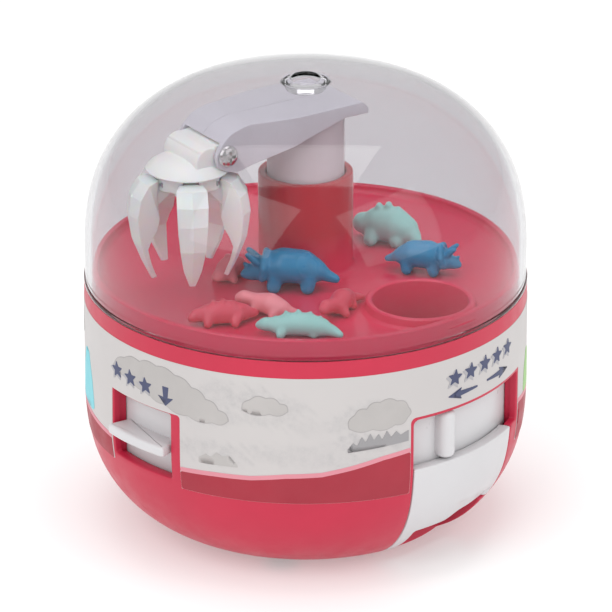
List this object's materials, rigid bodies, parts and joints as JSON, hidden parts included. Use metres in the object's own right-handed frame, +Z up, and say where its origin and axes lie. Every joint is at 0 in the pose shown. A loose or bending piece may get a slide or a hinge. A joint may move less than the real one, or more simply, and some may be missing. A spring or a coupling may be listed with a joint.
{
  "type": "toy claw crane machine",
  "caption": "Mini toy claw crane with a clear lift-off dome, a swinging claw arm over a play tray, a slide, a push lever and a prize chute.",
  "frame": {"origin": "centre of the round base at the level it stands on", "axes": "+Z up; the front, with the window for the slide on its right and the one for the lever on its left, faces -Y; +X is the viewer's right"},
  "size_m": [0.125, 0.125, 0.131],
  "materials": {
    "base_red": "satin",
    "tray_red": "gloss",
    "label": "satin print",
    "white": "gloss",
    "gear_white": "matte",
    "grey_inner": "matte",
    "clear": "clear moulded plastic",
    "milky": "milky, slightly see-through",
    "steel": "plated",
    "chrome": "bright",
    "prize_blue": "gloss",
    "prize_mint": "gloss",
    "prize_pink": "gloss",
    "prize_rose": "gloss"
  },
  "bodies": {
    "case": {"base_shell": "base_red", "label_band": "label", "outlet_cover": "white", "play_tray": "tray_red", "chute_duct": "tray_red", "gear_deck": "grey_inner", "deck_screws": "steel", "case_screws": "steel", "idler_pins": "steel", "rocker_pin": "steel", "grab_spring": "steel", "prize_blue_standing": "prize_blue", "prize_blue_right": "prize_blue", "prize_mint_back": "prize_mint", "prize_mint_front": "prize_mint", "prize_pink_light": "prize_pink", "prize_rose_left": "prize_rose", "prize_rose_middle": "prize_rose", "prize_pink_back": "prize_pink"},
    "cover": {"dome": "clear"},
    "slide": {"move_slider": "white"},
    "idler_a": {"idler_outer": "gear_white"},
    "idler_b": {"idler_inner": "gear_white"},
    "mast": {"column": "white", "column_gear": "gear_white", "column_clip": "steel"},
    "pusher": {"push_rod": "grey_inner"},
    "boom": {"arm_near_shell": "white", "arm_far_shell": "white", "arm_screw": "steel", "wrist_screw": "chrome", "arm_pivot_pin": "steel"},
    "claw": {"claw_hub": "milky", "finger_pins": "steel"},
    "plunger": {"claw_plunger": "white"},
    "lever": {"grab_lever": "white"},
    "rocker": {"rocker_arm": "grey_inner"},
    "finger_1": {"claw_finger_1": "milky"},
    "finger_2": {"claw_finger_2": "milky"},
    "finger_3": {"claw_finger_3": "milky"},
    "finger_4": {"claw_finger_4": "milky"},
    "finger_5": {"claw_finger_5": "milky"}
  },
  "joints": [
    {"name": "dome_lift", "type": "slide", "parent": "case", "child": "cover", "axis": [0, 0, 1], "range_m": [0, 0.075]},
    {"name": "move_slide", "type": "hinge", "parent": "case", "child": "slide", "pos_m": [0, 0, 0.0435], "axis": [0, 0, 1], "range_deg": [-8.5, 28.3]},
    {"name": "idler_outer_spin", "type": "hinge", "parent": "case", "child": "idler_a", "pos_m": [0.0225, 0.03897, 0.0435], "axis": [0, 0, 1], "range_deg": [-46.95, 155.85]},
    {"name": "idler_inner_spin", "type": "hinge", "parent": "case", "child": "idler_b", "pos_m": [0.0125, 0.02165, 0.0435], "axis": [0, 0, 1], "range_deg": [-155.85, 46.95]},
    {"name": "column_turn", "type": "hinge", "parent": "case", "child": "mast", "pos_m": [0, 0, 0.0435], "axis": [0, 0, 1], "range_deg": [-31.37, 103.97]},
    {"name": "push_rise", "type": "slide", "parent": "mast", "child": "pusher", "axis": [0, 0, 1], "range_m": [0, 0.00143]},
    {"name": "arm_dip", "type": "hinge", "parent": "mast", "child": "boom", "pos_m": [0, 0, 0.119], "axis": [0.5592, -0.829, 0], "range_deg": [0, 12.34]},
    {"name": "claw_level", "type": "hinge", "parent": "boom", "child": "claw", "pos_m": [-0.02678, -0.01806, 0.1172], "axis": [0.5592, -0.829, 0], "range_deg": [-12.34, 0]},
    {"name": "plunger_rise", "type": "slide", "parent": "claw", "child": "plunger", "axis": [0, 0, 1], "range_m": [0, 0.000884]},
    {"name": "finger_1_close", "type": "hinge", "parent": "claw", "child": "finger_1", "pos_m": [-0.03993, -0.02515, 0.1094], "axis": [0.4067, -0.9135, 0], "range_deg": [0, 16.05]},
    {"name": "finger_2_close", "type": "hinge", "parent": "claw", "child": "finger_2", "pos_m": [-0.03128, -0.03015, 0.1094], "axis": [0.9945, 0.1045, 0], "range_deg": [0, 16.05]},
    {"name": "finger_3_close", "type": "hinge", "parent": "claw", "child": "finger_3", "pos_m": [-0.02385, -0.02346, 0.1094], "axis": [0.2079, 0.9781, 0], "range_deg": [0, 16.05]},
    {"name": "finger_4_close", "type": "hinge", "parent": "claw", "child": "finger_4", "pos_m": [-0.02792, -0.01434, 0.1094], "axis": [-0.866, 0.5, 0], "range_deg": [0, 16.05]},
    {"name": "finger_5_close", "type": "hinge", "parent": "claw", "child": "finger_5", "pos_m": [-0.03785, -0.01538, 0.1094], "axis": [-0.7431, -0.6691, 0], "range_deg": [0, 16.05]},
    {"name": "grab_push", "type": "slide", "parent": "case", "child": "lever", "axis": [0, 0, -1], "range_m": [0, 0.0046], "stiffness_N_per_m": 60, "springref_m": -0.008, "deforming": ["grab_spring"]},
    {"name": "rocker_tip", "type": "hinge", "parent": "case", "child": "rocker", "pos_m": [-0.00919, -0.00771, 0.0314], "axis": [0.6428, -0.766, 0], "range_deg": [0, 6.81]}
  ],
  "couplings": [
    {"joint": "idler_outer_spin", "follows": "move_slide", "ratio": 5.5},
    {"joint": "idler_inner_spin", "follows": "move_slide", "ratio": -5.5},
    {"joint": "column_turn", "follows": "move_slide", "ratio": 3.6667},
    {"joint": "push_rise", "follows": "grab_push", "ratio": 0.30769},
    {"joint": "arm_dip", "follows": "grab_push", "rad_per_m": 46.62},
    {"joint": "claw_level", "follows": "grab_push", "rad_per_m": -46.62},
    {"joint": "plunger_rise", "follows": "grab_push", "ratio": 0.19},
    {"joint": "rocker_tip", "follows": "grab_push", "rad_per_m": 25.641},
    {"joint": "finger_1_close", "follows": "grab_push", "rad_per_m": 60.707},
    {"joint": "finger_2_close", "follows": "grab_push", "rad_per_m": 60.707},
    {"joint": "finger_3_close", "follows": "grab_push", "rad_per_m": 60.707},
    {"joint": "finger_4_close", "follows": "grab_push", "rad_per_m": 60.707},
    {"joint": "finger_5_close", "follows": "grab_push", "rad_per_m": 60.707}
  ]
}
